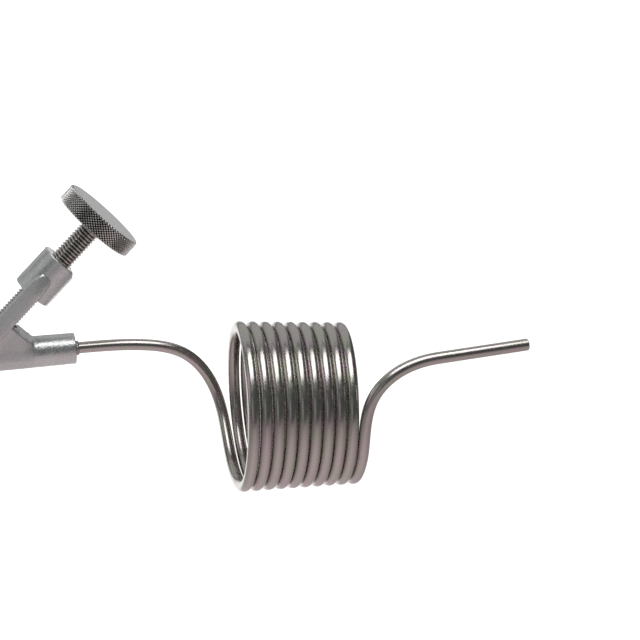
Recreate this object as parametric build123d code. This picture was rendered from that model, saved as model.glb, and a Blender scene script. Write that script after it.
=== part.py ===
"""Yoke-type sampling valve with a coiled outlet tube, one STEP file per piece."""
import os
from math import cos, pi, radians, sin, tan

from build123d import *

# ---------------------------------------------------------------- frame
# Origin: centre of the clamp ferrule's face.  +X: inlet to outlet.  +Z: up.
# Stem frame: origin where the stem axis crosses the flow axis, local +Z up the
# stem, local +X square to the stem on the outlet side.

# ---------------------------------------------------------------- main dimensions (mm)
STEM_TILT = 45.0                # stem above the flow axis, degrees
CROSSING_X = 24.0               # ferrule face to where the axes cross

# clamp ferrule, 1.5 inch sanitary size
FERRULE_D = 50.5
FERRULE_RIM = 2.85
FERRULE_BACK_D = 38.1
FERRULE_TAPER = 20.0
FERRULE_THICKNESS = 6.4
FERRULE_BORE_D = 12.0
GROOVE_D = 43.6
GROOVE_R = 1.6
GROOVE_SINK = 0.15

# cast body
FLANK = 7.4                     # half thickness of the flat web
NECK_R = 7.7                    # inlet neck
BARREL_R = 7.9
SPOUT_ROOT_R = 7.15
SPOUT_END_R = 7.0
SPOUT_ROOT_X = 27.5             # from the crossing
SPOUT_END_X = 45.6
BARREL_TOP = 23.1               # along the stem
WEB_REACH = 13.2                # top face, stem axis to the spout
WEB_BLEND_R = 3.0
BOSS_D = 18.0
BOSS_BOTTOM = 39.7
BOSS_TOP = 59.2
ARM_WIDTH = 7.7
ARM_INNER = 6.5
ARM_OUTER = 9.2
ARM_FOOT = 4.0
ARM_HEAD = 46.5
ARM_POINT = 3.6
ARM_TURN = 14.0                 # yoke turned about the stem, degrees

# bores
INLET_D = 5.5
SEAT_PLANE = 2.0
CHAMBER_D = 11.0
TUBE_BORE_D = 5.29
THREAD_BORE_D = 10.1

# piston and seals
PISTON_D = 10.9
PISTON_NOSE_D = 9.4
PISTON_NOSE_FROM = 3.2
PISTON_STEP = 10.6
PISTON_TOP = 22.0
RING_GROOVE_D = 8.0
RING_GROOVE_W = 2.0
RING_CORD = 1.45
RING_LOW = 12.6
RING_HIGH = 15.6
DISC_D = 7.8
DISC_TOP = 5.0
HEAD_D = 6.0
HEAD_FROM = 18.0
HEAD_TO = 19.9
NECK_D = 3.8
SLOT_GAP = 0.05

# spindle and handwheel, M10 x 1.5 thread drawn at its major diameter
SPINDLE_D = 10.0
SPINDLE_FROM = 22.6
WHEEL_BOTTOM = 79.3
WHEEL_TOP = 87.3
WHEEL_D = 38.0
WHEEL_CHAMFER = 0.6
WHEEL_BORE_DEPTH = 6.0

# outlet tube
TUBE_OD = 5.25
TUBE_ID = 3.25
TUBE_INSERT = 14.0              # length held inside the spout
LEAD_BEND = [(76.0, 0.0, -1.3), (94.7, 0.0, -7.05), (106.4, -0.3, -20.25),
             (110.1, -1.9, -29.25)]     # from the crossing
COIL_CENTRE = (136.4, -39.9, -20.65)
COIL_YAW = -4.23
COIL_PITCH = -2.55
COIL_R_FIRST = 35.2
COIL_R_LAST = 33.75
COIL_SPACING = 5.57             # centre to centre of neighbouring turns
COIL_TURNS = 9.0                # bottom of the first turn to bottom of the last
COIL_LEAN = -0.035              # lean of the turns, along the axis per unit height
COIL_SKEW_FIRST = 0.018         # same per unit towards the front, first turn
COIL_SKEW_LAST = -0.034         # and last turn
COIL_STEPS = 12                 # path points per turn
COIL_ENTRY = 45.0               # coil starts before the first bottom point, degrees
COIL_OVERRUN = 75.0             # and ends past the last bottom point
TAIL_BEND = [(159.6, -75.6, -15.45), (162.3, -75.6, -5.85), (170.9, -75.6, 3.95)]
TAIL_START = (191.2, -75.6, 10.25)
TAIL_TIP = (232.1, -75.6, 12.5)
SWEEP_LENGTHS = 24              # the tube is swept in this many lengths and joined
COLLAR_D = 6.6
COLLAR_LENGTH = 1.8

CROSSING = Vector(CROSSING_X, 0, 0)
STEM_DIR = Vector(cos(radians(STEM_TILT)), 0, sin(radians(STEM_TILT)))
STEM_SIDE = Vector(sin(radians(STEM_TILT)), 0, -cos(radians(STEM_TILT)))
STEM = Plane(origin=CROSSING, x_dir=STEM_SIDE, z_dir=STEM_DIR)
FLOW = Plane(origin=CROSSING, x_dir=(0, 1, 0), z_dir=(1, 0, 0))


def rod(plane, diameter, start, end):
    """Round bar along a plane's normal, between two distances."""
    face = plane.offset(start) * Circle(diameter / 2)
    return extrude(face, amount=end - start, dir=plane.z_dir)


def turned(plane, profile):
    """Solid of revolution about a plane's normal from (radius, height) points."""
    side = Plane(origin=plane.origin, x_dir=plane.x_dir, z_dir=-plane.y_dir)
    face = side * make_face(Polyline(*profile, close=True))
    return revolve(face, axis=Axis(plane.origin, plane.z_dir))


def stem_point(along, across, depth=0.0):
    """Row-frame point from stem coordinates."""
    return CROSSING + STEM_DIR * along + STEM_SIDE * across + Vector(0, depth, 0)


# ---------------------------------------------------------------- ferrule
def inlet_ferrule():
    face = Plane(origin=(0, 0, 0), x_dir=(0, 1, 0), z_dir=(1, 0, 0))
    taper_end = FERRULE_RIM + (FERRULE_D - FERRULE_BACK_D) / 2 * tan(radians(FERRULE_TAPER))
    disc = turned(face, [
        (0, 0),
        (FERRULE_D / 2, 0),
        (FERRULE_D / 2, FERRULE_RIM),
        (FERRULE_BACK_D / 2, taper_end),
        (FERRULE_BACK_D / 2, FERRULE_THICKNESS),
        (0, FERRULE_THICKNESS),
    ])
    groove_path = Plane(origin=(-GROOVE_SINK, 0, 0), x_dir=(0, 1, 0), z_dir=(1, 0, 0))
    groove = Solid.make_torus(GROOVE_D / 2, GROOVE_R, groove_path)
    return disc - groove - rod(face, FERRULE_BORE_D, -1, FERRULE_THICKNESS + 1)


# ---------------------------------------------------------------- cast body
def web():
    """Flat-sided wall that fills the corner between barrel and spout."""
    blend = WEB_BLEND_R * tan(radians(STEM_TILT / 2))
    corner = stem_point(BARREL_TOP, WEB_REACH)
    near = stem_point(BARREL_TOP, 1.0)
    far = stem_point(BARREL_TOP, WEB_REACH - blend)
    outline = Plane.XZ * make_face(Polyline(
        (CROSSING.X + 1, -1),
        (near.X, near.Z),
        (far.X, far.Z),
        (corner.X + blend, corner.Z),
        (corner.X + blend, -1),
        close=True,
    ))
    return extrude(outline, amount=FLANK, both=True)


def web_top_cutter():
    """Round tool that hollows the web's top face where it meets the spout."""
    corner = stem_point(BARREL_TOP, WEB_REACH)
    half = radians(STEM_TILT / 2)
    reach = WEB_BLEND_R / cos(half)
    centre = corner + Vector(sin(half), 0, cos(half)) * reach
    tool = Plane(origin=centre, x_dir=(1, 0, 0), z_dir=(0, -1, 0)) * Circle(WEB_BLEND_R)
    return extrude(tool, amount=2 * FLANK, both=True)


def arm(side):
    """One strap of the yoke, with a pointed end at head and foot."""
    half = ARM_WIDTH / 2
    turn = radians(ARM_TURN)
    across = STEM_SIDE * cos(turn) - Vector(0, sin(turn), 0)
    outward = (STEM_SIDE * sin(turn) + Vector(0, cos(turn), 0)) * side
    plane = Plane(origin=CROSSING, x_dir=across, z_dir=outward)
    up = 1 if plane.y_dir.dot(STEM_DIR) > 0 else -1
    outline = [
        (-half, ARM_FOOT + ARM_POINT),
        (0, ARM_FOOT),
        (half, ARM_FOOT + ARM_POINT),
        (half, ARM_HEAD),
        (0, ARM_HEAD + ARM_POINT),
        (-half, ARM_HEAD),
    ]
    points = [(x, y * up) for x, y in outline]
    face = plane.offset(ARM_INNER) * make_face(Polyline(*points, close=True))
    return extrude(face, amount=ARM_OUTER - ARM_INNER, dir=plane.z_dir)


def spout():
    """Drafted round spout."""
    root = FLOW.offset(0) * Circle(SPOUT_ROOT_R)
    middle = FLOW.offset(SPOUT_ROOT_X) * Circle(SPOUT_ROOT_R)
    end = FLOW.offset(SPOUT_END_X) * Circle(SPOUT_END_R)
    return loft([middle, end]) + extrude(root, amount=SPOUT_ROOT_X, dir=(1, 0, 0))


def valve_body():
    neck_start = FERRULE_THICKNESS - CROSSING_X
    body = rod(FLOW, 2 * NECK_R, neck_start, 2.0)
    body += rod(FLOW, FERRULE_BORE_D, -CROSSING_X, neck_start)
    body += spout()
    body += rod(STEM, 2 * BARREL_R, 0, BARREL_TOP)
    body += web() - web_top_cutter()
    boss = rod(STEM, BOSS_D, BOSS_BOTTOM, BOSS_TOP)
    body += boss
    body += arm(1)
    body += arm(-1)
    body -= rod(FLOW, INLET_D, -CROSSING_X - 1, 0)
    body -= rod(STEM, INLET_D, -0.5, SEAT_PLANE + 1)
    body -= rod(STEM, CHAMBER_D, SEAT_PLANE, BARREL_TOP + 1)
    body -= rod(FLOW, TUBE_BORE_D, 5.0, SPOUT_END_X + 1)
    body -= rod(STEM, THREAD_BORE_D, BOSS_BOTTOM - 1, BOSS_TOP + 1)
    return body


# ---------------------------------------------------------------- piston and seals
def piston():
    groove = RING_GROOVE_W / 2
    body = turned(STEM, [
        (0, DISC_TOP),
        (DISC_D / 2, DISC_TOP),
        (DISC_D / 2, PISTON_NOSE_FROM),
        (PISTON_NOSE_D / 2, PISTON_NOSE_FROM),
        (PISTON_NOSE_D / 2, PISTON_STEP),
        (PISTON_D / 2, PISTON_STEP),
        (PISTON_D / 2, RING_LOW - groove),
        (RING_GROOVE_D / 2, RING_LOW - groove),
        (RING_GROOVE_D / 2, RING_LOW + groove),
        (PISTON_D / 2, RING_LOW + groove),
        (PISTON_D / 2, RING_HIGH - groove),
        (RING_GROOVE_D / 2, RING_HIGH - groove),
        (RING_GROOVE_D / 2, RING_HIGH + groove),
        (PISTON_D / 2, RING_HIGH + groove),
        (PISTON_D / 2, PISTON_TOP),
        (0, PISTON_TOP),
    ])
    return body - head_slot(HEAD_D, HEAD_FROM - SLOT_GAP, HEAD_TO + SLOT_GAP) \
        - head_slot(NECK_D, HEAD_TO, PISTON_TOP + 1)


def head_slot(width, start, end):
    """Slot open to one side of the piston that lets the spindle's head slide in."""
    across = width + 2 * SLOT_GAP
    round_end = rod(STEM, across, start, end)
    face = STEM.offset(start) * Pos(PISTON_D / 2, 0) * Rectangle(PISTON_D, across)
    return round_end + extrude(face, amount=end - start, dir=STEM.z_dir)


def piston_ring(height):
    centre = STEM.offset(height)
    radius = (RING_GROOVE_D + RING_CORD) / 2
    return Solid.make_torus(radius, RING_CORD / 2, centre)


def seat_disc():
    return rod(STEM, DISC_D, SEAT_PLANE, DISC_TOP)


# ---------------------------------------------------------------- spindle and handwheel
def spindle():
    return turned(STEM, [
        (0, HEAD_FROM),
        (HEAD_D / 2, HEAD_FROM),
        (HEAD_D / 2, HEAD_TO),
        (NECK_D / 2, HEAD_TO),
        (NECK_D / 2, SPINDLE_FROM),
        (SPINDLE_D / 2 - 1.0, SPINDLE_FROM),
        (SPINDLE_D / 2, SPINDLE_FROM + 1.0),
        (SPINDLE_D / 2, WHEEL_BOTTOM + WHEEL_BORE_DEPTH),
        (0, WHEEL_BOTTOM + WHEEL_BORE_DEPTH),
    ])


def handwheel():
    edge = WHEEL_D / 2
    cut = WHEEL_CHAMFER
    return turned(STEM, [
        (SPINDLE_D / 2, WHEEL_BOTTOM),
        (edge - cut, WHEEL_BOTTOM),
        (edge, WHEEL_BOTTOM + cut),
        (edge, WHEEL_TOP - cut),
        (edge - cut, WHEEL_TOP),
        (0, WHEEL_TOP),
        (0, WHEEL_BOTTOM + WHEEL_BORE_DEPTH),
        (SPINDLE_D / 2, WHEEL_BOTTOM + WHEEL_BORE_DEPTH),
    ])


# ---------------------------------------------------------------- coiled tube
def coil_axes():
    """Unit vectors along the coil, down it and out towards its front."""
    yaw = radians(COIL_YAW)
    pitch = radians(COIL_PITCH)
    along = Vector(cos(yaw) * cos(pitch), sin(yaw) * cos(pitch), sin(pitch))
    down = (Vector(0, 0, -1) + along * along.Z).normalized()
    front = down.cross(along)
    return along, down, front


def coil_point(angle):
    """Point on the coil's centreline; 0 degrees is the bottom of the first turn."""
    along, down, front = coil_axes()
    turn = angle / 360
    share = turn / COIL_TURNS
    radius = COIL_R_FIRST + (COIL_R_LAST - COIL_R_FIRST) * share
    skew = COIL_SKEW_FIRST + (COIL_SKEW_LAST - COIL_SKEW_FIRST) * share
    a = radians(angle)
    advance = COIL_SPACING * (turn - COIL_TURNS / 2)
    advance += radius * (skew * sin(a) - COIL_LEAN * cos(a))
    centre = CROSSING + Vector(*COIL_CENTRE)
    return centre + along * advance + (down * cos(a) + front * sin(a)) * radius


def coil_path():
    """Centreline in three runs: straight lead, bends and coil, straight tail."""
    held = CROSSING + Vector(SPOUT_END_X - TUBE_INSERT, 0, 0)
    exit_point = CROSSING + Vector(SPOUT_END_X, 0, 0)
    first = -COIL_ENTRY
    sweep_angle = COIL_TURNS * 360 + COIL_OVERRUN + COIL_ENTRY
    count = round(sweep_angle / 360 * COIL_STEPS)
    tail_start = CROSSING + Vector(*TAIL_START)
    tail_tip = CROSSING + Vector(*TAIL_TIP)
    points = [exit_point]
    points += [CROSSING + Vector(*bend) for bend in LEAD_BEND]
    points += [coil_point(first + sweep_angle * i / count) for i in range(count + 1)]
    points += [CROSSING + Vector(*bend) for bend in TAIL_BEND]
    points += [tail_start]
    ends = [Vector(1, 0, 0), (tail_tip - tail_start).normalized()]
    wound = Spline(*points, tangents=ends, tangent_scalars=[1.0, 1.0])
    return Line(held, exit_point), Edge(wound.wrapped), Line(tail_start, tail_tip)


def tube_length(run):
    """Hollow round tube along one run of the centreline."""
    start = Plane(origin=run @ 0, z_dir=run % 0)
    ring = start * (Circle(TUBE_OD / 2) - Circle(TUBE_ID / 2))
    return sweep(ring, path=run)


def coil_tube():
    lead, wound, tail = coil_path()
    tube = tube_length(lead)
    for i in range(SWEEP_LENGTHS):
        tube += tube_length(wound.trim(i / SWEEP_LENGTHS, (i + 1) / SWEEP_LENGTHS))
    return tube + tube_length(tail)


def coil_collar():
    ring = rod(FLOW, COLLAR_D, SPOUT_END_X, SPOUT_END_X + COLLAR_LENGTH)
    return ring - rod(FLOW, TUBE_OD + 0.1, SPOUT_END_X - 1, SPOUT_END_X + COLLAR_LENGTH + 1)


PIECES = {
    "inlet_ferrule": inlet_ferrule,
    "valve_body": valve_body,
    "piston": piston,
    "piston_ring_low": lambda: piston_ring(RING_LOW),
    "piston_ring_high": lambda: piston_ring(RING_HIGH),
    "seat_disc": seat_disc,
    "spindle": spindle,
    "handwheel": handwheel,
    "coil_tube": coil_tube,
    "coil_collar": coil_collar,
}

os.makedirs("parts", exist_ok=True)
for name, make in PIECES.items():
    shape = make()
    solids = shape.solids()
    print(name, "solids", len(solids), "volume", round(shape.volume, 1))
    result = solids[0] if len(solids) == 1 else shape
    result.label = name
    export_step(result, f"parts/{name}.step")
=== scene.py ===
"""Looks for the yoke-type sampling valve with a coiled outlet tube.

Lengths in the shape code are millimetres; objects are metres, in the row frame.
Stem coordinates run from where the stem axis crosses the flow axis: u up the
stem, v across it on the outlet side, w = row Y.
"""
import math

import bpy
import bmesh
import numpy as np
from mathutils import Matrix, Vector


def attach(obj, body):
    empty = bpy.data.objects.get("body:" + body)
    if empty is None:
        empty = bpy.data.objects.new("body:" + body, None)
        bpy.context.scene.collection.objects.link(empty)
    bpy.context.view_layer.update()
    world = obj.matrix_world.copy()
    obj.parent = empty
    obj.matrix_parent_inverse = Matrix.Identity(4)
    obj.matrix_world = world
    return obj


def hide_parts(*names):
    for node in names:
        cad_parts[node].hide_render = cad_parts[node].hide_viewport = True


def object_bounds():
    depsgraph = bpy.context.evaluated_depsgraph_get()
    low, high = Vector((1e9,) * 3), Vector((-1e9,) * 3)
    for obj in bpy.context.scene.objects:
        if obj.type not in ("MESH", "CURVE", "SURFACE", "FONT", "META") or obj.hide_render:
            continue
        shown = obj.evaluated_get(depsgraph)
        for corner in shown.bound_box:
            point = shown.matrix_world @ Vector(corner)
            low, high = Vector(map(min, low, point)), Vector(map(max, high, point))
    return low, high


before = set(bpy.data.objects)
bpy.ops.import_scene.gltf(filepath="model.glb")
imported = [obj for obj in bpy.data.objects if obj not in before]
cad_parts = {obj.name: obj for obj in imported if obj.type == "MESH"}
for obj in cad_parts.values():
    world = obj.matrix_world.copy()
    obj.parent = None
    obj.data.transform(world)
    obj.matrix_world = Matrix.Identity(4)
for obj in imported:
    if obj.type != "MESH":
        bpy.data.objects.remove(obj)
cad_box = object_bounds()

MM = 0.001
SPOUT_POLISH_FROM = 0.047       # metres along the flow axis
SPOUT_POLISH_TO = 0.054
ROOT_HALF = math.sqrt(0.5)

# ---------------------------------------------------------------- dimensions (mm)
CROSSING_X = 24.0
STEM_TILT = math.radians(45.0)
STEM_DIR = np.array([ROOT_HALF, 0.0, ROOT_HALF])
STEM_SIDE = np.array([ROOT_HALF, 0.0, -ROOT_HALF])

FERRULE_R = 25.25
FERRULE_RIM = 2.85
FERRULE_BACK_R = 19.05
FERRULE_THICKNESS = 6.4
FERRULE_TAPER = math.radians(20.0)
SPIGOT_R = 6.0
GASKET_R = 21.8
GASKET_GROOVE_R = 1.6

NECK_R = 7.7
BARREL_R = 7.9
BARREL_TOP = 23.1
SPOUT_ROOT_R = 7.15
SPOUT_END_R = 7.0
SPOUT_ROOT_X = 27.5
SPOUT_END_X = 45.6
FLANK = 7.4
WEB_REACH = 13.2
WEB_BLEND_R = 3.0
WEB_END = 26.4
WEB_EDGE_R = 0.55
WEB_THINNING = 1.3              # taken off each side towards the web's end
WEB_THIN_LENGTH = 5.0
BOSS_R = 9.0
BOSS_BOTTOM = 39.7
BOSS_TOP = 59.2
ARM_HALF_WIDTH = 3.85
ARM_INNER = 6.5
ARM_OUTER = 10.1
ARM_FOOT = 4.0
ARM_HEAD = 50.4
ARM_TURN = math.radians(14.0)
ARM_EDGE_R = 0.8
ARM_CROWN = 0.55
ARM_SLOPE = 11.0                # length over which the head slopes into the boss
ARM_HEAD_DROP = 0.8
ARM_HEAD_NARROWING = 1.6
INLET_R = 2.75
SEAT_PLANE = 2.0
CHAMBER_R = 5.5
TUBE_BORE_R = 2.645
THREAD_BORE_R = 5.05
COUNTERSINK = 0.55
BAR_EDGE_R = 0.35               # barrel and boss edges
SPOUT_EDGE_R = 0.3
SKIN_WAVE = 0.045               # height of the casting's unevenness
FLARE_R = 8.6                   # neck's foot beside the ferrule
FLARE_SLOPE = 1.1
NECK_BLEND = 1.2
BARREL_BLEND = 2.2
SPOUT_BLEND = 1.6
WALL_BLEND = 1.7
ARM_BOSS_BLEND = 0.5
YOKE_BLEND = 0.8
FACE_CUT = 0.02                 # machined off the boss's and the spout's end
TAIL_CUT = 0.22                 # chamfer at the tube's two ends
CORE_R = 0.4                    # cap in the middle of a round face

THREAD_R = 5.0
THREAD_PITCH = 1.5
THREAD_DEPTH = 0.88
SPINDLE_FROM = 22.6
HEAD_R = 3.0
HEAD_FROM = 18.0
HEAD_TO = 19.9
SPINDLE_NECK_R = 1.9
WHEEL_BOTTOM = 79.3
WHEEL_TOP = 87.3
WHEEL_R = 19.0
WHEEL_BEVEL = 0.6
WHEEL_BORE = 6.0
KNURL_COUNT = 74
KNURL_ROWS = 5
KNURL_DEPTH = 0.60
KNURL_FLAT = 0.50

TUBE_R = 2.625
TUBE_BORE = 1.625
TUBE_INSERT = 14.0
LEAD_BEND = [(76.0, 0.0, -1.3), (94.7, 0.0, -7.05), (106.4, -0.3, -20.25),
             (110.1, -1.9, -29.25)]
COIL_CENTRE = np.array([136.4, -39.9, -20.65])
COIL_YAW = math.radians(-4.23)
COIL_PITCH = math.radians(-2.55)
COIL_R_FIRST = 35.2
COIL_R_LAST = 33.75
COIL_SPACING = 5.57
COIL_TURNS = 9.0
COIL_LEAN = -0.035
COIL_SKEW_FIRST = 0.018
COIL_SKEW_LAST = -0.034
COIL_STEPS = 12
COIL_ENTRY = 45.0
COIL_OVERRUN = 75.0
TAIL_BEND = [(159.6, -75.6, -15.45), (162.3, -75.6, -5.85), (170.9, -75.6, 3.95)]
TAIL_START = (191.2, -75.6, 10.25)
TAIL_TIP = (232.1, -75.6, 12.5)
COLLAR_R = 3.3
COLLAR_LENGTH = 1.8


# ---------------------------------------------------------------- mesh helpers
def stem_to_row(u, v, w):
    """Stem coordinates to points from the crossing, still in mm."""
    u, v, w = np.broadcast_arrays(u, v, w)
    points = u[..., None] * STEM_DIR + v[..., None] * STEM_SIDE
    points[..., 1] += w
    return points


def make_piece(name, points, faces, body, node, material, smooth_angle=None):
    """Mesh object from points measured from the crossing in mm."""
    mesh = bpy.data.meshes.new(name)
    row = (np.asarray(points, float) + [CROSSING_X, 0.0, 0.0]) * MM
    mesh.from_pydata(row.tolist(), [], faces)
    mesh.update()
    bm = bmesh.new()
    bm.from_mesh(mesh)
    bmesh.ops.remove_doubles(bm, verts=bm.verts, dist=1e-7)
    bmesh.ops.recalc_face_normals(bm, faces=bm.faces)
    bm.to_mesh(mesh)
    bm.free()
    mesh.polygons.foreach_set("use_smooth", [True] * len(mesh.polygons))
    if smooth_angle is not None:
        mesh.set_sharp_from_angle(angle=math.radians(smooth_angle))
    mesh.materials.append(material)
    piece = bpy.data.objects.new(name, mesh)
    bpy.context.scene.collection.objects.link(piece)
    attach(piece, body)
    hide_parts(node)
    return piece


def round_corners(profile, radii, steps=5):
    """Polyline of (radius, height) points with its corners rounded by arcs."""
    points = [np.array(p, float) for p in profile]
    result = []
    for i, corner in enumerate(points):
        radius = radii[i]
        if radius == 0 or i in (0, len(points) - 1):
            result.append(corner)
            continue
        to_last = points[i - 1] - corner
        to_next = points[i + 1] - corner
        room = 0.45 * min(np.linalg.norm(to_last), np.linalg.norm(to_next))
        to_last /= np.linalg.norm(to_last)
        to_next /= np.linalg.norm(to_next)
        half = math.acos(np.clip(to_last @ to_next, -1, 1)) / 2
        reach = min(radius / math.tan(half), room)
        for k in range(steps + 1):
            t = k / steps
            a = corner + to_last * reach
            b = corner + to_next * reach
            result.append((1 - t) ** 2 * a + 2 * t * (1 - t) * corner + t ** 2 * b)
    return result


def lathe(profile, place, sides):
    """Points and faces of a profile turned about an axis.

    place(radius, height, angle) gives the points. Profile ends on the axis close
    to a single point; a profile that starts where it ends is a closed ring.
    """
    profile = [tuple(p) for p in profile]
    ring_shut = profile[0] == profile[-1]
    if ring_shut:
        profile = profile[:-1]
    angles = np.arange(sides) * 2 * math.pi / sides
    points = []
    rings = []
    for radius, height in profile:
        start = len(points)
        if radius < 1e-6:
            points.append(place(0.0, height, 0.0))
            rings.append([start] * sides)
        else:
            points.extend(place(radius, height, angles))
            rings.append(list(range(start, start + sides)))
    faces = []
    pairs = list(zip(rings, rings[1:]))
    if ring_shut:
        pairs.append((rings[-1], rings[0]))
    for low, high in pairs:
        for i in range(sides):
            k = (i + 1) % sides
            corners = [low[i], low[k], high[k], high[i]]
            face = [c for j, c in enumerate(corners) if c not in corners[:j]]
            if len(face) > 2:
                faces.append(face)
    return np.array([np.ravel(p) for p in points]), faces


def about_stem(radius, height, angle):
    """Point at a radius and angle about the stem axis."""
    return stem_to_row(height, radius * np.cos(angle), radius * np.sin(angle))


def about_flow(radius, height, angle):
    """Point at a radius and angle about the flow axis."""
    x = np.broadcast_to(height, np.shape(angle))
    return np.stack([x, radius * np.cos(angle), radius * np.sin(angle)], axis=-1)


def join_shells(*shells):
    """One list of points and faces from several closed shells."""
    points = []
    faces = []
    count = 0
    for shell_points, shell_faces in shells:
        points.append(np.asarray(shell_points, float))
        faces += [[c + count for c in face] for face in shell_faces]
        count += len(shell_points)
    return np.concatenate(points), faces


# ---------------------------------------------------------------- materials
class Nodes:
    """Short-hand for building a node tree."""

    def __init__(self, name):
        self.material = bpy.data.materials.new(name)
        self.material.use_nodes = True
        self.tree = self.material.node_tree
        self.shader = self.tree.nodes["Principled BSDF"]

    def new(self, kind, inputs=None, **settings):
        node = self.tree.nodes.new(kind)
        for key, value in settings.items():
            setattr(node, key, value)
        for key, value in (inputs or {}).items():
            self.put(node.inputs[key], value)
        return node

    def put(self, socket, value):
        if isinstance(value, bpy.types.NodeSocket):
            self.tree.links.new(value, socket)
        else:
            socket.default_value = value

    def set(self, key, value):
        self.put(self.shader.inputs[key], value)

    def math(self, operation, a, b=0.0, c=0.0):
        node = self.new("ShaderNodeMath", {0: a, 1: b, 2: c}, operation=operation)
        return node.outputs[0]

    def vector_math(self, operation, a, b=(0, 0, 0), out=0):
        node = self.new("ShaderNodeVectorMath", {0: a, 1: b}, operation=operation)
        return node.outputs[out]

    def place(self):
        return self.new("ShaderNodeTexCoord").outputs["Object"]

    def noise(self, vector, scale, detail=2.0, roughness=0.5):
        values = {"Vector": vector, "Scale": scale, "Detail": detail, "Roughness": roughness}
        return self.new("ShaderNodeTexNoise", values).outputs["Fac"]

    def spread(self, value, low, high, out_low, out_high):
        values = {"Value": value, "From Min": low, "From Max": high,
                  "To Min": out_low, "To Max": out_high}
        return self.new("ShaderNodeMapRange", values).outputs["Result"]

    def mix(self, share, a, b):
        node = self.new("ShaderNodeMix", data_type="RGBA")
        self.put(node.inputs[0], share)
        self.put(node.inputs[6], a)
        self.put(node.inputs[7], b)
        return node.outputs[2]

    def bump(self, height, distance, strength=1.0, normal=None):
        values = {"Height": height, "Distance": distance, "Strength": strength}
        if normal is not None:
            values["Normal"] = normal
        return self.new("ShaderNodeBump", values).outputs["Normal"]


def colour(red, green, blue):
    return (red, green, blue, 1.0)


def stem_coordinates(nodes):
    """Sockets for u up the stem and the distance from its axis, in metres."""
    from_crossing = nodes.vector_math("SUBTRACT", nodes.place(), (CROSSING_X * MM, 0, 0))
    up = nodes.vector_math("DOT_PRODUCT", from_crossing, tuple(STEM_DIR), out="Value")
    total = nodes.vector_math("LENGTH", from_crossing, out="Value")
    square = nodes.math("SUBTRACT", nodes.math("POWER", total, 2.0), nodes.math("POWER", up, 2.0))
    radius = nodes.math("SQRT", nodes.math("MAXIMUM", square, 0.0))
    return up, radius


def cast_steel():
    """Investment-cast, blasted stainless; machined faces and the spout's end are smoother."""
    n = Nodes("cast_steel")
    place = n.place()
    along = n.new("ShaderNodeSeparateXYZ", {0: place}).outputs["X"]
    fine = n.noise(place, 2100.0, 2.0, 0.6)
    middle = n.noise(place, 1100.0, 2.0, 0.5)
    broad = n.noise(place, 150.0, 3.0, 0.55)
    worked = n.new("ShaderNodeAttribute", attribute_name="machined").outputs["Fac"]
    tint = n.mix(n.spread(broad, 0.35, 0.65, 0.0, 1.0), colour(0.73, 0.715, 0.755),
                 colour(0.70, 0.76, 0.73))
    speck = n.mix(n.spread(fine, 0.3, 0.7, 0.0, 1.0), colour(0.50, 0.50, 0.495),
                  colour(0.92, 0.92, 0.91))
    base = n.mix(0.5, tint, speck)
    n.set("Base Color", n.mix(worked, base, colour(0.68, 0.66, 0.65)))
    n.set("Metallic", 0.82)
    polished = n.spread(along, SPOUT_POLISH_FROM, SPOUT_POLISH_TO, 0.0, 0.17)
    rough = n.math("SUBTRACT", n.spread(middle, 0.3, 0.7, 0.42, 0.56), polished)
    n.set("Roughness", n.math("SUBTRACT", rough, n.math("MULTIPLY", worked, 0.14)))
    grain = n.math("ADD", n.math("MULTIPLY", fine, 0.6), middle)
    rest = n.math("SUBTRACT", 1.0, n.math("MULTIPLY", worked, 0.8))
    n.set("Normal", n.bump(n.math("MULTIPLY", grain, rest), 0.00012, 0.7))
    return n.material


def turned_steel(name, along_stem, base, roughness):
    """Lathe-turned stainless with fine tool marks round its axis."""
    n = Nodes(name)
    place = n.place()
    if along_stem:
        up, radius = stem_coordinates(n)
    else:
        split = n.new("ShaderNodeSeparateXYZ", {0: place}).outputs
        up = split["X"]
        flat = n.new("ShaderNodeCombineXYZ", {"Y": split["Y"], "Z": split["Z"]}).outputs[0]
        radius = n.vector_math("LENGTH", flat, out="Value")
    pair = n.new("ShaderNodeCombineXYZ", {"X": up, "Y": radius}).outputs[0]
    marks = n.noise(pair, 5200.0, 2.0, 0.7)
    wear = n.noise(place, 160.0, 3.0, 0.6)
    dark = tuple(c * 0.86 for c in base)
    light = tuple(min(1.0, c * 1.08) for c in base)
    n.set("Base Color", n.mix(wear, colour(*dark), colour(*light)))
    n.set("Metallic", 1.0)
    n.set("Roughness", n.spread(marks, 0.3, 0.7, roughness - 0.05, roughness + 0.08))
    n.set("Normal", n.bump(marks, 0.000012, 0.6))
    return n.material


def thread_steel():
    """Cut thread: bright crests; roots darkened as painted shade in the grooves."""
    n = Nodes("thread_steel")
    up, radius = stem_coordinates(n)
    place = n.place()
    depth = n.spread(radius, (THREAD_R - THREAD_DEPTH) * MM, THREAD_R * MM, 0.0, 1.0)
    patch = n.noise(place, 420.0, 3.0, 0.6)
    crest = n.mix(patch, colour(0.70, 0.675, 0.64), colour(0.90, 0.88, 0.84))
    # Base colour darkens from crest to root: painted shade in the thread's grooves.
    n.set("Base Color", n.mix(depth, colour(0.19, 0.18, 0.165), crest))
    n.set("Metallic", 1.0)
    n.set("Roughness", n.spread(patch, 0.3, 0.7, 0.16, 0.28))
    drag = n.noise(n.new("ShaderNodeCombineXYZ", {"X": radius, "Y": up}).outputs[0], 9000.0)
    n.set("Normal", n.bump(drag, 0.00001, 0.5))
    return n.material


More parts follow.
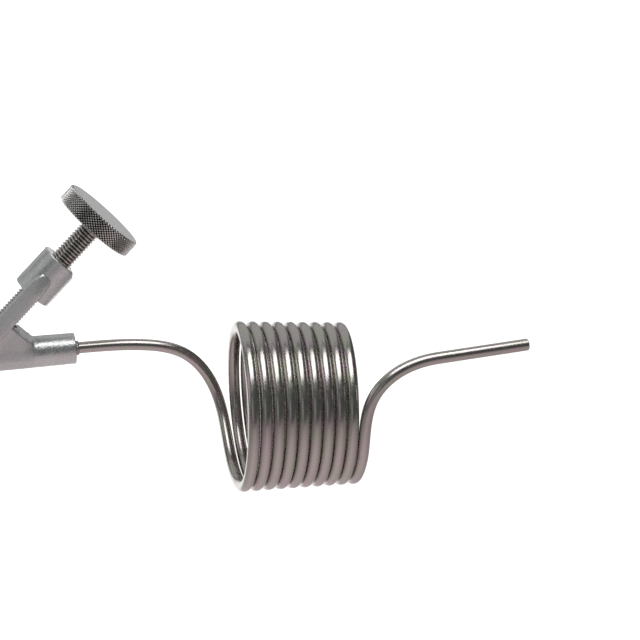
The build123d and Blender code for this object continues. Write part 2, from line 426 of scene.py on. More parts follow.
def knob_steel():
    """Matt faced top, bright knurl with painted shade darkening its grooves."""
    n = Nodes("knob_steel")
    radius = stem_coordinates(n)[1]
    place = n.place()
    rings = n.noise(n.new("ShaderNodeCombineXYZ", {"X": radius}).outputs[0], 4200.0, 2.0, 0.7)
    cloud = n.noise(place, 70.0, 3.0, 0.55)
    rim = (WHEEL_R - KNURL_DEPTH) * MM
    crest = WHEEL_R * MM
    height = n.spread(radius, rim + 0.2 * KNURL_DEPTH * MM, crest - 0.00006, 0.0, 1.0)
    side = n.math("GREATER_THAN", radius, rim - 0.00002)
    face = n.mix(n.spread(cloud, 0.35, 0.65, 0.0, 1.0), colour(0.86, 0.82, 0.86),
                 colour(0.87, 0.885, 0.86))
    # Knurl colour darkens from the tops down into the grooves: painted shade.
    knurl = n.mix(height, colour(0.10, 0.096, 0.092), colour(0.96, 0.945, 0.92))
    n.set("Base Color", n.mix(side, face, knurl))
    n.set("Metallic", 1.0)
    n.set("Roughness", n.math("SUBTRACT", n.spread(cloud, 0.3, 0.7, 0.40, 0.48),
                              n.math("MULTIPLY", side, 0.16)))
    n.set("Normal", n.bump(rings, 0.00001, 0.5))
    return n.material


def tube_steel():
    """Drawn, annealed and bent stainless tube with faint lines along it."""
    n = Nodes("tube_steel")
    along = n.new("ShaderNodeAttribute", attribute_name="tube_place").outputs["Vector"]
    place = n.place()
    lines = n.noise(along, 1.0, 3.0, 0.6)
    cloud = n.noise(place, 110.0, 3.0, 0.55)
    patch = n.noise(place, 350.0, 3.0, 0.6)
    warm = n.mix(n.spread(cloud, 0.38, 0.62, 0.0, 1.0), colour(0.60, 0.52, 0.545),
                 colour(0.555, 0.57, 0.49))
    n.set("Base Color", n.mix(n.spread(lines, 0.3, 0.7, 0.0, 0.45), warm,
                              colour(0.46, 0.42, 0.41)))
    n.set("Metallic", 1.0)
    n.set("Roughness", n.math("ADD", n.spread(patch, 0.3, 0.7, 0.19, 0.28),
                              n.spread(lines, 0.3, 0.7, 0.0, 0.06)))
    fine = n.bump(lines, 0.00002, 0.5)
    n.set("Normal", n.bump(patch, 0.00003, 0.30, fine))
    return n.material


def weld_steel():
    """Brazed bead: darker, uneven."""
    n = Nodes("weld_steel")
    place = n.place()
    patch = n.noise(place, 900.0, 3.0, 0.6)
    n.set("Base Color", n.mix(n.spread(patch, 0.35, 0.65, 0.0, 1.0), colour(0.20, 0.19, 0.18),
                              colour(0.62, 0.59, 0.56)))
    n.set("Metallic", 1.0)
    n.set("Roughness", n.spread(patch, 0.3, 0.7, 0.25, 0.42))
    n.set("Normal", n.bump(patch, 0.00015, 0.8))
    return n.material


def ring_rubber():
    """Matt black moulded rubber."""
    n = Nodes("ring_rubber")
    grain = n.noise(n.place(), 3000.0, 3.0, 0.6)
    n.set("Base Color", n.mix(grain, colour(0.015, 0.015, 0.016), colour(0.035, 0.035, 0.035)))
    n.set("Roughness", n.spread(grain, 0.3, 0.7, 0.45, 0.65))
    n.set("Normal", n.bump(grain, 0.00002, 0.5))
    return n.material


def seat_ptfe():
    """Waxy white machined PTFE."""
    n = Nodes("seat_ptfe")
    grain = n.noise(n.place(), 1800.0, 3.0, 0.6)
    n.set("Base Color", n.mix(grain, colour(0.82, 0.82, 0.80), colour(0.90, 0.90, 0.88)))
    n.set("Roughness", n.spread(grain, 0.3, 0.7, 0.38, 0.52))
    n.set("Normal", n.bump(grain, 0.00002, 0.4))
    return n.material


# ---------------------------------------------------------------- cast body
def smooth_union(a, b, blend):
    """Union of two distances with a fillet about the blend wide."""
    h = np.clip(0.5 + 0.5 * (b - a) / blend, 0.0, 1.0)
    return b + (a - b) * h - blend * h * (1.0 - h)


def capped(radial, low, high, edge=0.0):
    """Distance to a round bar: radial = distance outside its side."""
    end = np.maximum(low, high)
    if edge == 0.0:
        return np.maximum(radial, end)
    a = radial + edge
    b = end + edge
    outside = np.hypot(np.maximum(a, 0.0), np.maximum(b, 0.0))
    return outside + np.minimum(np.maximum(a, b), 0.0) - edge


def rounded(a, b, c, edge):
    """Distance to the corner of three faces with its edges rounded."""
    outside = np.sqrt(np.maximum(a + edge, 0.0) ** 2 + np.maximum(b + edge, 0.0) ** 2
                      + np.maximum(c + edge, 0.0) ** 2)
    return outside + np.minimum(np.maximum(np.maximum(a, b), c) + edge, 0.0) - edge


def web_field(x, y, z, u, v):
    """Flat-sided wall in the corner between barrel and spout."""
    half = STEM_TILT / 2
    corner = BARREL_TOP * STEM_DIR + WEB_REACH * STEM_SIDE
    reach = WEB_BLEND_R / math.cos(half)
    cx = corner[0] + math.sin(half) * reach
    cz = corner[2] + math.cos(half) * reach
    along_x = x - cx
    along_z = z - cz
    below_stem = u - BARREL_TOP
    below_spout = z - corner[2]
    arc = WEB_BLEND_R - np.hypot(along_x, along_z)
    tangent = WEB_BLEND_R * math.tan(half)
    in_arc = (x < corner[0] + tangent) & (v > WEB_REACH - tangent)
    top = np.where(v <= WEB_REACH - tangent, below_stem, np.where(in_arc, arc, below_spout))
    narrow = np.clip((x - WEB_END + WEB_THIN_LENGTH) / WEB_THIN_LENGTH, 0.0, 1.0)
    side = np.abs(y) - (FLANK - WEB_THINNING * narrow * narrow)
    wall = rounded(side, top, x - WEB_END, WEB_EDGE_R)
    return np.maximum(wall, np.maximum(-v - 0.5, -z - 1.0))


def arm_field(u, v, w):
    """Yoke strap with a crowned face, and an end that slopes into the boss."""
    crown = ARM_CROWN * (v / ARM_HALF_WIDTH) ** 2
    head = np.clip((u - (ARM_HEAD - ARM_SLOPE)) / ARM_SLOPE, 0.0, 1.3)
    outer = ARM_OUTER - crown * (1.0 - 0.6 * np.minimum(head, 1.0)) - ARM_HEAD_DROP * head ** 2
    middle = (ARM_INNER + outer) / 2
    half = (outer - ARM_INNER) / 2
    side = np.abs(v) - (ARM_HALF_WIDTH - ARM_HEAD_NARROWING * head ** 3)
    across = np.abs(w - middle) - half
    ends = np.maximum(u - ARM_HEAD, ARM_FOOT - u)
    return rounded(side, across, ends, ARM_EDGE_R)


def ripple(x, y, z):
    """Slight unevenness of a cast skin, -1 to 1."""
    waves = [(0.83, 0.31, 0.22, 0.4), (-0.27, 0.92, 0.48, 1.9), (0.35, -0.44, 1.03, 3.1),
             (1.71, 1.15, -0.62, 5.2), (-1.32, 0.74, 1.58, 0.8), (0.52, -1.94, 1.21, 2.6)]
    total = 0.0
    for a, b, c, phase in waves:
        total = total + np.sin(a * x + b * y + c * z + phase)
    return total / len(waves)


def bore_field(x, u, flow_r, stem_r):
    """Port, seat, piston chamber, tube bore and the boss's threaded hole."""
    bores = np.minimum(capped(flow_r - INLET_R, -CROSSING_X - 2.0 - x, x),
                       capped(stem_r - INLET_R, -0.5 - u, u - SEAT_PLANE - 1.0))
    bores = np.minimum(bores, capped(stem_r - CHAMBER_R, SEAT_PLANE - u, u - BARREL_TOP - 2.0))
    bores = np.minimum(bores, capped(flow_r - TUBE_BORE_R, 5.0 - x, x - SPOUT_END_X - 2.0))
    thread_bore = capped(stem_r - THREAD_BORE_R, BOSS_BOTTOM - 2.0 - u, u - BOSS_TOP - 2.0)
    countersink = stem_r - (THREAD_BORE_R + np.clip(u - BOSS_TOP + COUNTERSINK, 0.0, None))
    thread_bore = np.minimum(thread_bore, np.where(u > BOSS_TOP - 0.8, countersink, 9.0))
    return np.minimum(bores, thread_bore)


def body_field(points):
    """Signed distance of the cast body, negative inside, in mm."""
    x, y, z = points[..., 0], points[..., 1], points[..., 2]
    u = (x + z) * ROOT_HALF
    v = (x - z) * ROOT_HALF
    flow_r = np.hypot(y, z)
    stem_r = np.hypot(v, y)
    neck_start = FERRULE_THICKNESS - CROSSING_X
    neck = capped(flow_r - NECK_R, neck_start - x, x - 2.0)
    flare_r = FLARE_R - FLARE_SLOPE * (x - neck_start)
    flare = capped(flow_r - flare_r, neck_start - x, x - neck_start - 2.0)
    barrel = capped(stem_r - BARREL_R, -u, u - BARREL_TOP, BAR_EDGE_R)
    draft = (SPOUT_ROOT_R - SPOUT_END_R) / (SPOUT_END_X - SPOUT_ROOT_X)
    spout_r = SPOUT_ROOT_R - draft * np.clip(x - SPOUT_ROOT_X, 0.0, None)
    spout = capped(flow_r - spout_r, -x, x - SPOUT_END_X, SPOUT_EDGE_R)
    boss = capped(stem_r - BOSS_R, BOSS_BOTTOM - u, u - BOSS_TOP, BAR_EDGE_R)
    arm_v = v * math.cos(ARM_TURN) - y * math.sin(ARM_TURN)
    arm_w = np.abs(v * math.sin(ARM_TURN) + y * math.cos(ARM_TURN))
    arms = arm_field(u, arm_v, arm_w)

    yoke = smooth_union(arms, boss, ARM_BOSS_BLEND)
    skin = smooth_union(neck, flare, NECK_BLEND)
    skin = smooth_union(skin, barrel, BARREL_BLEND)
    skin = smooth_union(skin, spout, SPOUT_BLEND)
    skin = smooth_union(skin, web_field(x, y, z, u, v), WALL_BLEND)
    skin = smooth_union(skin, yoke, YOKE_BLEND)
    skin = skin + SKIN_WAVE * ripple(x, y, z)

    spigot = capped(flow_r - SPIGOT_R, -CROSSING_X - x, x - neck_start - 1.0)
    skin = np.minimum(skin, spigot)
    spout_face = x - SPOUT_END_X + FACE_CUT
    boss_face = np.maximum(u - BOSS_TOP + FACE_CUT, stem_r - BOSS_R - 2.0)
    skin = np.maximum(skin, spout_face)
    skin = np.where(u > BOSS_TOP - 3.0, np.maximum(skin, boss_face), skin)
    return np.maximum(skin, -bore_field(x, u, flow_r, stem_r))


def surface_net(field, low, step):
    """Quads of the zero surface of a grid of distances, one point in each cell it cuts."""
    inside = field < 0.0
    corner_sum = sum(
        inside[i:inside.shape[0] - 1 + i, j:inside.shape[1] - 1 + j, k:inside.shape[2] - 1 + k]
        .astype(np.int8)
        for i in (0, 1) for j in (0, 1) for k in (0, 1)
    )
    cells = np.argwhere((corner_sum > 0) & (corner_sum < 8))
    index = -np.ones(corner_sum.shape, np.int64)
    index[tuple(cells.T)] = np.arange(len(cells))
    total = np.zeros((len(cells), 3))
    weight = np.zeros(len(cells))
    corners = [np.array(c) for c in np.ndindex(2, 2, 2)]
    for a in corners:
        for axis in range(3):
            if a[axis]:
                continue
            b = a.copy()
            b[axis] = 1
            at_a = field[tuple((cells + a).T)]
            at_b = field[tuple((cells + b).T)]
            crosses = (at_a < 0) != (at_b < 0)
            gap = np.where(crosses, at_a - at_b, 1.0)
            share = np.where(crosses, at_a / gap, 0.0)
            point = a + share[:, None] * (b - a)
            total += np.where(crosses[:, None], point, 0.0)
            weight += crosses
    points = low + (cells + total / weight[:, None]) * step
    return points, net_faces(inside, index)


def net_faces(inside, index):
    """A quad round each grid edge whose ends lie on different sides."""
    faces = []
    for axis in range(3):
        ahead = [0, 0, 0]
        ahead[axis] = 1
        shape = inside.shape
        first = inside[:shape[0] - ahead[0], :shape[1] - ahead[1], :shape[2] - ahead[2]]
        second = inside[ahead[0]:, ahead[1]:, ahead[2]:]
        edges = np.argwhere(first != second)
        side_a = (axis + 1) % 3
        side_b = (axis + 2) % 3
        keep = (edges[:, side_a] > 0) & (edges[:, side_b] > 0)
        edges = edges[keep]
        flip = first[tuple(edges.T)]
        quad = []
        for da, db in ((0, 0), (1, 0), (1, 1), (0, 1)):
            cell = edges.copy()
            cell[:, side_a] -= da
            cell[:, side_b] -= db
            quad.append(index[tuple(cell.T)])
        quad = np.stack(quad, axis=1)
        quad[~flip] = quad[~flip][:, ::-1]
        faces.append(quad)
    return np.concatenate(faces)


def settle(points, distance, rounds=2, reach=0.02):
    """Moves points onto the zero surface along the distance's slope."""
    for _ in range(rounds):
        here = distance(points)
        slope = np.zeros_like(points)
        for axis in range(3):
            offset = np.zeros(3)
            offset[axis] = reach
            rise = distance(points + offset) - distance(points - offset)
            slope[:, axis] = rise / (2 * reach)
        size = np.maximum((slope ** 2).sum(1), 0.2)
        points = points - np.clip(here / size, -0.15, 0.15)[:, None] * slope
    return points


def valve_body(material):
    """Casting, meshed from its distance field."""
    step = 0.32
    low = np.array([-CROSSING_X - 0.6, -10.4, -8.9])
    high = np.array([SPOUT_END_X + 2.9, 10.4, 49.0])
    counts = np.ceil((high - low) / step).astype(int)
    axes = [low[i] + np.arange(counts[i] + 1) * step for i in range(3)]
    slabs = []
    for start in range(0, len(axes[0]), 24):
        slab = axes[0][start:start + 24]
        grid = np.stack(np.meshgrid(slab, axes[1], axes[2], indexing="ij"), -1)
        slabs.append(body_field(grid).astype(np.float32))
    field = np.concatenate(slabs)
    points, faces = surface_net(field, low, step)
    points = settle(points, body_field)
    piece = make_piece("cast_body", points, faces.tolist(), "valve", "valve_body",
                       material)
    mark_machined(piece)
    return piece


def mark_machined(piece):
    """Attribute that is 1 on the faces cut after casting."""
    mesh = piece.data
    co = np.zeros(len(mesh.vertices) * 3)
    mesh.vertices.foreach_get("co", co)
    points = co.reshape(-1, 3) / MM - [CROSSING_X, 0.0, 0.0]
    x, y, z = points.T
    u = (x + z) * ROOT_HALF
    v = (x - z) * ROOT_HALF
    stem_r = np.hypot(v, y)
    flow_r = np.hypot(y, z)
    worked = (u > BOSS_TOP - 0.10) & (stem_r < BOSS_R + 1.0)
    worked |= (stem_r < THREAD_BORE_R + 0.75) & (u > BOSS_BOTTOM - 0.2)
    worked |= (stem_r < CHAMBER_R + 0.15) & (u > 1.0) & (u < BARREL_TOP + 0.1)
    worked |= (x > SPOUT_END_X - 0.10)
    worked |= (flow_r < INLET_R + 0.15) & (x < 0.0)
    worked |= (x < -CROSSING_X + 0.2)
    layer = mesh.attributes.new("machined", "FLOAT", "POINT")
    layer.data.foreach_set("value", worked.astype(np.float32))


# ---------------------------------------------------------------- turned pieces
def inlet_ferrule(material):
    """Clamp ferrule with its gasket groove."""
    taper_end = FERRULE_RIM + (FERRULE_R - FERRULE_BACK_R) * math.tan(FERRULE_TAPER)
    groove = []
    for k in range(13):
        a = math.pi - math.pi * k / 12
        groove.append((GASKET_R + GASKET_GROOVE_R * math.cos(a),
                       max(0.0, GASKET_GROOVE_R * math.sin(a) - 0.15)))
    outline = [(SPIGOT_R, FERRULE_THICKNESS), (SPIGOT_R, 0.0)] + groove
    radii = [0.0, 0.12] + [0.0] * len(groove)
    outline += [(FERRULE_R, 0.0), (FERRULE_R, FERRULE_RIM), (FERRULE_BACK_R, taper_end),
                (FERRULE_BACK_R, FERRULE_THICKNESS), (SPIGOT_R, FERRULE_THICKNESS)]
    radii += [0.5, 0.5, 0.8, 0.4, 0.0]
    profile = round_corners(outline, radii)
    profile = [(r, h - CROSSING_X) for r, h in profile]
    profile[-1] = profile[0]
    points, faces = lathe(profile, about_flow, 192)
    return make_piece("clamp_ferrule", points, faces, "valve", "inlet_ferrule",
                      material, 40)


def threaded_rod(low, high):
    """Right-hand thread between two heights, cut square at both ends."""
    around = 64
    crest = THREAD_R
    root = THREAD_R - THREAD_DEPTH
    phases = [(0.0, root + 0.05), (0.055, root), (0.11, root + 0.05), (0.47, crest - 0.06),
              (0.51, crest), (0.60, crest), (0.64, crest - 0.06)]
    turns = math.ceil((high - low) / THREAD_PITCH) + 3
    steps = turns * around
    start = low - 1.5 * THREAD_PITCH
    k = np.arange(steps + 1)
    angle = k * 2 * math.pi / around
    points = []
    for phase, radius in phases:
        height = start + THREAD_PITCH * (k / around + phase)
        points.append(about_stem(np.full(k.shape, radius), height, -angle))
    points = np.stack(points, axis=1).reshape(-1, 3)
    count = len(phases)
    faces = []
    for i in range(steps):
        for m in range(count - 1):
            a = i * count + m
            faces.append([a, a + count, a + count + 1, a + 1])
        if i + around + 1 <= steps:
            a = i * count + count - 1
            b = (i + around) * count
            faces.append([a, a + count, b + count, b])
    bm = bmesh.new()
    verts = [bm.verts.new(p) for p in points]
    for face in faces:
        bm.faces.new([verts[c] for c in face])
    for height, sign in ((low, -1), (high, 1)):
        everything = list(bm.verts) + list(bm.edges) + list(bm.faces)
        bmesh.ops.bisect_plane(bm, geom=everything, plane_co=STEM_DIR * height,
                               plane_no=STEM_DIR * sign, clear_outer=True)
    rims = [e for e in bm.edges if e.is_boundary]
    bmesh.ops.holes_fill(bm, edges=rims, sides=0)
    for vert in bm.verts:
        point = np.array(vert.co)
        height = point @ STEM_DIR
        axis_point = STEM_DIR * height
        off = point - axis_point
        radius = np.linalg.norm(off)
        limit = crest - 1.0 + max(0.0, height - low)
        if radius > limit:
            vert.co = Vector(axis_point + off * limit / radius)
    bm.verts.index_update()
    shell = [tuple(vert.co) for vert in bm.verts]
    shell_faces = [[vert.index for vert in face.verts] for face in bm.faces]
    bm.free()
    return shell, shell_faces


def spindle(material):
    """Threaded stem with a plain neck and button head."""
    rod = threaded_rod(SPINDLE_FROM, WHEEL_BOTTOM + WHEEL_BORE - 0.05)
    outline = [(0.0, HEAD_FROM), (HEAD_R, HEAD_FROM), (HEAD_R, HEAD_TO),
               (SPINDLE_NECK_R, HEAD_TO), (SPINDLE_NECK_R, SPINDLE_FROM + 0.4),
               (0.0, SPINDLE_FROM + 0.4)]
    profile = round_corners(outline, [0, 0.3, 0.3, 0.2, 0.0, 0.0])
    head = lathe(profile, about_stem, 48)
    points, faces = join_shells(rod, head)
    return make_piece("threaded_spindle", points, faces, "stem", "spindle",
                      material, 35)


def knurl_band(add, step, low, high):
    """Flat-topped pyramids round the rim; returns faces and the band's two edges."""
    faces = []
    edges = {low: [], high: []}
    deep = WHEEL_R - KNURL_DEPTH
    rise = (high - low) / KNURL_ROWS
    flat = KNURL_FLAT / 2
    for row in range(2 * KNURL_ROWS + 1):
        for i in range(KNURL_COUNT):
            angle = (i + 0.5 * (row % 2)) * step
            height = low + row * rise / 2
            left = add(deep, angle - step / 2, height)
            right = add(deep, angle + step / 2, height)
            flat_left = add(WHEEL_R, angle - step * flat, height)
            flat_right = add(WHEEL_R, angle + step * flat, height)
            halves = []
            if row < 2 * KNURL_ROWS:
                halves.append(1)
            if row > 0:
                halves.append(-1)
            tips = {}
            for sign in halves:
                tip = add(deep, angle, height + sign * rise / 2)
                flat_tip = add(WHEEL_R, angle, height + sign * rise * flat)
                tips[sign] = flat_tip
                faces.append([left, flat_left, flat_tip, tip])
                faces.append([right, tip, flat_tip, flat_right])
            if len(halves) == 2:
                faces.append([flat_left, tips[-1], flat_right, tips[1]])
            else:
                faces.append([flat_left, flat_right, tips[halves[0]]])
                edges[low if row == 0 else high] += [left, flat_left, flat_right]
    return faces, edges[low], edges[high]


def handwheel(material):
    """Disc with a diamond-knurled rim, plain faces and a blind bore for the stem."""
    points = []
    seen = {}
    step = 2 * math.pi / KNURL_COUNT
    around = KNURL_COUNT * 3

    def add(radius, angle, height):
        turn = round((angle / step) % KNURL_COUNT, 3) % KNURL_COUNT
        key = (round(radius, 4), turn, round(height, 4))
        if key not in seen:
            seen[key] = len(points)
            points.append(about_stem(radius, height, turn * step).ravel())
        return seen[key]

    def ring(radius, height):
        start = len(points)
        shifts = (-0.5, -KNURL_FLAT / 2, KNURL_FLAT / 2)
        angles = [(i + shift) * step for i in range(KNURL_COUNT) for shift in shifts]
        points.extend(about_stem(radius, height, np.array(angles)))
        return list(range(start, start + around))

    faces, low_edge, high_edge = knurl_band(add, step, WHEEL_BOTTOM + WHEEL_BEVEL,
                                            WHEEL_TOP - WHEEL_BEVEL)
    bevel_r = WHEEL_R - WHEEL_BEVEL - 0.15
    bore_end = WHEEL_BOTTOM + WHEEL_BORE
    top = [(bevel_r + 0.10, WHEEL_TOP - 0.08), (bevel_r - 0.10, WHEEL_TOP), (3.0, WHEEL_TOP),
           (CORE_R, WHEEL_TOP)]
    bottom = [(bevel_r + 0.10, WHEEL_BOTTOM + 0.08), (bevel_r - 0.10, WHEEL_BOTTOM),
              (THREAD_R + 0.35, WHEEL_BOTTOM), (THREAD_R + 0.02, WHEEL_BOTTOM + 0.33),
              (THREAD_R + 0.02, bore_end), (CORE_R, bore_end)]
    for last, outline in ((high_edge, top), (low_edge, bottom)):
        for radius, height in outline:
            now = ring(radius, height)
            for i in range(around):
                k = (i + 1) % around
                faces.append([last[i], last[k], now[k], now[i]])
            last = now
        faces.append(last)
    return make_piece("knurled_handwheel", np.array(points), faces, "stem",
                      "handwheel", material, 12)


# ---------------------------------------------------------------- coiled tube
def coil_point(angle):
    """Centreline of the coil; 0 degrees is the bottom of the first turn."""
    along = np.array([math.cos(COIL_YAW) * math.cos(COIL_PITCH),
                      math.sin(COIL_YAW) * math.cos(COIL_PITCH), math.sin(COIL_PITCH)])
    down = np.array([0.0, 0.0, -1.0]) + along * along[2]
    down /= np.linalg.norm(down)
    front = np.cross(down, along)
    turn = angle / 360
    share = turn / COIL_TURNS
    radius = COIL_R_FIRST + (COIL_R_LAST - COIL_R_FIRST) * share
    skew = COIL_SKEW_FIRST + (COIL_SKEW_LAST - COIL_SKEW_FIRST) * share
    a = math.radians(angle)
    advance = COIL_SPACING * (turn - COIL_TURNS / 2)
    advance += radius * (skew * math.sin(a) - COIL_LEAN * math.cos(a))
    return COIL_CENTRE + along * advance + (down * math.cos(a) + front * math.sin(a)) * radius


def fit_spline(points, first_slope, last_slope):
    """Smooth cubic through points by chord length; returns a sampling function."""
    knots = np.concatenate([[0], np.cumsum(np.linalg.norm(np.diff(points, axis=0), axis=1))])
    span = np.diff(knots)
    count = len(points)
    matrix = np.zeros((count, count))
    right = np.zeros((count, 3))
    matrix[0, 0] = matrix[-1, -1] = 1.0
    right[0], right[-1] = first_slope, last_slope
    for i in range(1, count - 1):
        a, b = span[i - 1], span[i]
        matrix[i, i - 1:i + 2] = [b, 2 * (a + b), a]
        back = points[i] - points[i - 1]
        onward = points[i + 1] - points[i]
        right[i] = 3 * (b / a * back + a / b * onward)
    slopes = np.linalg.solve(matrix, right)

    def sample(s):
        i = np.clip(np.searchsorted(knots, s, side="right") - 1, 0, count - 2)
        h = span[i][:, None]
        t = ((s - knots[i]) / span[i])[:, None]
        here = (2 * t ** 3 - 3 * t ** 2 + 1) * points[i]
        here = here + (t ** 3 - 2 * t ** 2 + t) * h * slopes[i]
        ahead = (3 * t ** 2 - 2 * t ** 3) * points[i + 1]
        return here + ahead + (t ** 3 - t ** 2) * h * slopes[i + 1]

    return sample, knots[-1]


def tube_centreline(spacing):
    """Points along the tube, from inside the spout to the tip."""
    exit_point = np.array([SPOUT_END_X, 0.0, 0.0])
    sweep = COIL_TURNS * 360 + COIL_OVERRUN + COIL_ENTRY
    count = round(sweep / 360 * COIL_STEPS)
    tail_start = np.array(TAIL_START)
    tail_tip = np.array(TAIL_TIP)
    points = [exit_point] + [np.array(p) for p in LEAD_BEND]
    points += [coil_point(sweep * i / count - COIL_ENTRY) for i in range(count + 1)]
    points += [np.array(p) for p in TAIL_BEND] + [tail_start]
    slope = (tail_tip - tail_start) / np.linalg.norm(tail_tip - tail_start)
    sample, length = fit_spline(np.array(points), np.array([1.0, 0, 0]), slope)
    wound = sample(np.linspace(0, length, round(length / spacing) + 1))
    held = exit_point - [TUBE_INSERT, 0, 0]
    lead = held + (exit_point - held) * np.linspace(0, 1, 8)[:-1, None]
    tail = tail_start + (tail_tip - tail_start) * np.linspace(0, 1, 24)[1:, None]
    return np.concatenate([lead, wound, tail])


def sweep_frames(path):
    """Tangents and two side directions that don't twist along a path."""
    tangents = np.gradient(path, axis=0)
    tangents /= np.linalg.norm(tangents, axis=1)[:, None]
    side = np.cross(tangents[0], [0.0, 1.0, 0.0])
    sides = []
    for tangent in tangents:
        side = side - tangent * (side @ tangent)
        side /= np.linalg.norm(side)
        sides.append(side.copy())
    sides = np.array(sides)
    return tangents, sides, np.cross(tangents, sides)


def coil_tube(material):
    """Open tube swept along its path, with chamfered ends."""
    path = tube_centreline(1.6)
    tangents, side, other = sweep_frames(path)
    count = len(path)
    outer_n = 32
    inner_n = 16
    points = []
    faces = []

    def shell(radius, sides, first, last):
        start = len(points)
        angles = np.arange(sides) * 2 * math.pi / sides
        for i in range(first, last + 1):
            ring = path[i] + radius * (np.cos(angles)[:, None] * side[i]
                                       + np.sin(angles)[:, None] * other[i])
            points.extend(ring)
        for i in range(last - first):
            for k in range(sides):
                a = start + i * sides + k
                b = start + i * sides + (k + 1) % sides
                faces.append([a, b, b + sides, a + sides])
        return start, start + (last - first) * sides

    outer_start, outer_end = shell(TUBE_R, outer_n, 1, count - 2)
    inner_start, inner_end = shell(TUBE_BORE, inner_n, 0, count - 1)
    angles = np.arange(outer_n) * 2 * math.pi / outer_n
    ends = ((0, outer_start, inner_start), (-1, outer_end, inner_end))
    for at, outer_ring, inner_ring in ends:
        inward = tangents[at] * (0.25 if at == 0 else -0.25)
        around = np.cos(angles)[:, None] * side[at] + np.sin(angles)[:, None] * other[at]
        shoulder = len(points)
        points.extend(path[at] + inward + TUBE_R * around)
        rim = len(points)
        points.extend(path[at] + (TUBE_R - TAIL_CUT) * around)
        for k in range(outer_n):
            j = (k + 1) % outer_n
            faces.append([outer_ring + k, outer_ring + j, shoulder + j, shoulder + k])
            faces.append([shoulder + k, shoulder + j, rim + j, rim + k])
        for k in range(inner_n):
            j = (k + 1) % inner_n
            faces.append([rim + 2 * k, rim + 2 * k + 1, inner_ring + k])
            faces.append([rim + 2 * k + 1, rim + (2 * k + 2) % outer_n, inner_ring + j,
                          inner_ring + k])
    piece = make_piece("coiled_tube", np.array(points), faces, "valve", "coil_tube",
                       material, 35)
    mark_tube_place(piece, path, side, other)
    return piece


def mark_tube_place(piece, path, side, other):
    """Attribute with length along the tube and place round it, for drawn lines."""
    mesh = piece.data
    co = np.zeros(len(mesh.vertices) * 3)
    mesh.vertices.foreach_get("co", co)
    points = co.reshape(-1, 3) / MM - [CROSSING_X, 0.0, 0.0]
    nearest = np.zeros(len(points), int)
    for start in range(0, len(points), 4000):
        block = points[start:start + 4000]
        apart = ((block[:, None, :] - path[None, :, :]) ** 2).sum(2)
        nearest[start:start + 4000] = apart.argmin(1)
    length = np.concatenate([[0], np.cumsum(np.linalg.norm(np.diff(path, axis=0), axis=1))])
    off = points - path[nearest]
    values = np.stack([length[nearest] * 0.02, (off * side[nearest]).sum(1) * 3.0,
                       (off * other[nearest]).sum(1) * 3.0], axis=1)
    layer = mesh.attributes.new("tube_place", "FLOAT_VECTOR", "POINT")
    layer.data.foreach_set("vector", values.astype(np.float32).ravel())


def coil_collar(material):
    """Uneven bead round the tube where it leaves the spout."""
    around = 96
    section = 14
    points = []
    faces = []
    middle_r = (TUBE_R + COLLAR_R) / 2
    half_r = (COLLAR_R - TUBE_R) / 2 + 0.05
    half_x = COLLAR_LENGTH / 2
    for i in range(around):
        a = i * 2 * math.pi / around
        swell = 1.0 + 0.10 * math.sin(9 * a) + 0.07 * math.sin(14 * a + 1.3) - 0.12
        for k in range(section):
            b = k * 2 * math.pi / section
            radius = middle_r + half_r * swell * math.sin(b)
            x = SPOUT_END_X + half_x + (half_x * (0.92 + 0.08 * math.sin(7 * a))) * math.cos(b)
            points.append([x, radius * math.cos(a), radius * math.sin(a)])
    for i in range(around):
        j = (i + 1) % around
        for k in range(section):
            m = (k + 1) % section
            faces.append([i * section + k, j * section + k, j * section + m, i * section + m])
    return make_piece("tube_collar", np.array(points), faces, "valve",
                      "coil_collar", material)


# ---------------------------------------------------------------- build
plain_turned = turned_steel("turned_steel", False, (0.56, 0.55, 0.54), 0.27)
piston_turned = turned_steel("piston_steel", True, (0.56, 0.55, 0.54), 0.25)
rubber = ring_rubber()
carried_over = {
    "piston": piston_turned,
    "piston_ring_low": rubber,
    "piston_ring_high": rubber,
    "seat_disc": seat_ptfe(),
}
for node_name, node_material in carried_over.items():
    node_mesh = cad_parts[node_name].data
    node_mesh.materials.clear()
    node_mesh.materials.append(node_material)

valve_body(cast_steel())
inlet_ferrule(plain_turned)
spindle(thread_steel())
handwheel(knob_steel())
coil_tube(tube_steel())
coil_collar(weld_steel())


# ---------------------------------------------------------------- stage
FLOOR_DROP = 0.34
FLOOR_HALF = 6.0
FRONT_CENTRE_X = 0.12
FRONT_HALF_WIDTH = 0.16
FRONT_GLOW = 0.39
SIDE_GLOW = 0.23
BACK_GLOW = 0.92
CAMERA_PLACE = (0.004, -0.634, 0.24955)
CAMERA_YAW = math.radians(15.85)
CAMERA_PITCH = math.radians(20.51)
CAMERA_ROLL = math.radians(0.58)
CAMERA_LENS = 84.49
WORLD_COLOUR = colour(0.070, 0.077, 0.076)
# name, place, target, size (metres), strength
LAMPS = [
    ("overhead", (0.12, -0.225, 0.75), (0.12, -0.225, 0.0), (0.85, 0.55), 2.6),
    ("left_fill", (-0.62, 0.0, 0.32), (0.05, 0.0, 0.02), (0.6, 0.5), 0.45),
    ("front_left", (-0.20, -0.55, 0.16), (0.03, 0.0, 0.03), (0.30, 0.30), 0.28),
    ("backdrop", (0.12, 0.90, 0.65), (0.12, 0.0, 0.0), (2.0, 1.3), 0.40),
]


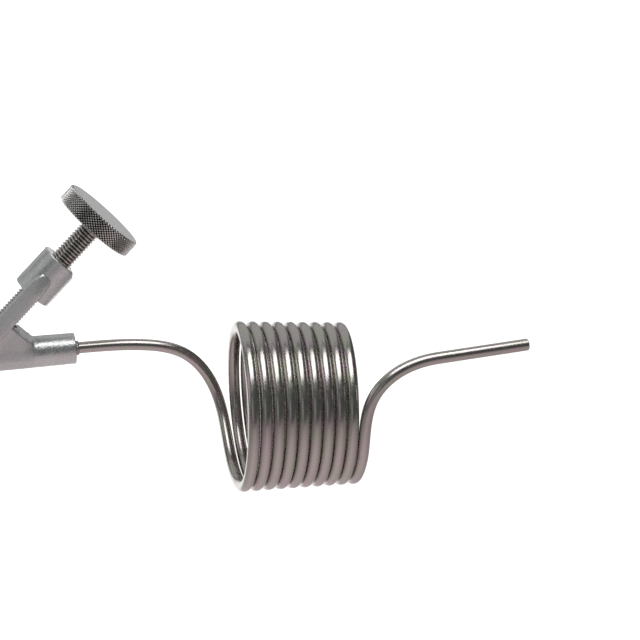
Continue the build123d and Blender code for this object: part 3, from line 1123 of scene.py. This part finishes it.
def add_floor():
    """Pale floor, self-lit white behind the object and dimmer in front and beside it."""
    mesh = bpy.data.meshes.new("floor")
    height = cad_box[0][2] - FLOOR_DROP
    corners = [(-FLOOR_HALF, -FLOOR_HALF, height), (FLOOR_HALF, -FLOOR_HALF, height),
               (FLOOR_HALF, FLOOR_HALF, height), (-FLOOR_HALF, FLOOR_HALF, height)]
    mesh.from_pydata(corners, [], [[0, 1, 2, 3]])
    n = Nodes("floor_pale")
    split = n.new("ShaderNodeSeparateXYZ", {0: n.place()}).outputs
    depth = n.math("MULTIPLY_ADD", split["X"], 0.285, split["Y"])
    aside = n.math("MULTIPLY_ADD", split["Y"], -0.55, split["X"])
    behind = n.math("MULTIPLY", n.spread(depth, 0.34, 0.41, 0.0, 1.0),
                    n.spread(aside, 0.40, 0.50, 1.0, 0.0))
    far = n.spread(split["Y"], 0.30, 1.50, 0.0, 1.0)
    off_centre = n.math("ABSOLUTE", n.math("SUBTRACT", split["X"], FRONT_CENTRE_X))
    width = n.math("MULTIPLY_ADD", split["Y"], -0.50, FRONT_HALF_WIDTH)
    width = n.math("MAXIMUM", width, FRONT_HALF_WIDTH)
    card = n.spread(n.math("DIVIDE", off_centre, width), 0.35, 1.6, FRONT_GLOW, SIDE_GLOW)
    glow = n.math("MULTIPLY_ADD", behind, 0.60, n.math("MULTIPLY_ADD", far, 0.30, card))
    glow = n.math("MAXIMUM", glow, n.math("MULTIPLY", behind, BACK_GLOW))
    n.set("Base Color", n.mix(behind, colour(0.52, 0.45, 0.46), colour(0.86, 0.86, 0.86)))
    n.set("Roughness", 0.9)
    n.set("Emission Color", n.mix(behind, colour(1.0, 0.87, 0.89), colour(1.0, 1.0, 1.0)))
    n.set("Emission Strength", glow)
    mesh.materials.append(n.material)
    floor = bpy.data.objects.new("floor", mesh)
    bpy.context.scene.collection.objects.link(floor)


def add_light(name, place, target, size, strength):
    """Soft rectangular lamp that faces a target."""
    lamp = bpy.data.lights.new(name, "AREA")
    lamp.shape = "RECTANGLE"
    lamp.size, lamp.size_y = size
    lamp.energy = strength * size[0] * size[1] * math.pi
    light = bpy.data.objects.new(name, lamp)
    light.location = place
    aim = Vector(target) - Vector(place)
    light.rotation_euler = aim.to_track_quat("-Z", "Y").to_euler()
    bpy.context.scene.collection.objects.link(light)


def add_camera():
    """Camera at the photograph's viewing angle."""
    ahead = Vector((math.sin(CAMERA_YAW) * math.cos(CAMERA_PITCH),
                    math.cos(CAMERA_YAW) * math.cos(CAMERA_PITCH), -math.sin(CAMERA_PITCH)))
    right = ahead.cross(Vector((0, 0, 1))).normalized()
    up = right.cross(ahead)
    turned_right = right * math.cos(CAMERA_ROLL) + up * math.sin(CAMERA_ROLL)
    turned_up = up * math.cos(CAMERA_ROLL) - right * math.sin(CAMERA_ROLL)
    turn = Matrix((turned_right, turned_up, -ahead)).transposed()
    data = bpy.data.cameras.new("camera")
    data.lens = CAMERA_LENS
    data.sensor_width = 36.0
    data.clip_start = 0.01
    camera = bpy.data.objects.new("camera", data)
    camera.matrix_world = Matrix.Translation(CAMERA_PLACE) @ turn.to_4x4()
    bpy.context.scene.collection.objects.link(camera)
    bpy.context.scene.camera = camera


def add_world():
    """Dim, even surroundings."""
    world = bpy.data.worlds.new("studio")
    world.use_nodes = True
    background = world.node_tree.nodes["Background"]
    background.inputs["Color"].default_value = WORLD_COLOUR
    background.inputs["Strength"].default_value = 1.0
    bpy.context.scene.world = world


add_floor()
for lamp in LAMPS:
    add_light(*lamp)
add_camera()
add_world()
bpy.context.scene.view_settings.view_transform = "Standard"
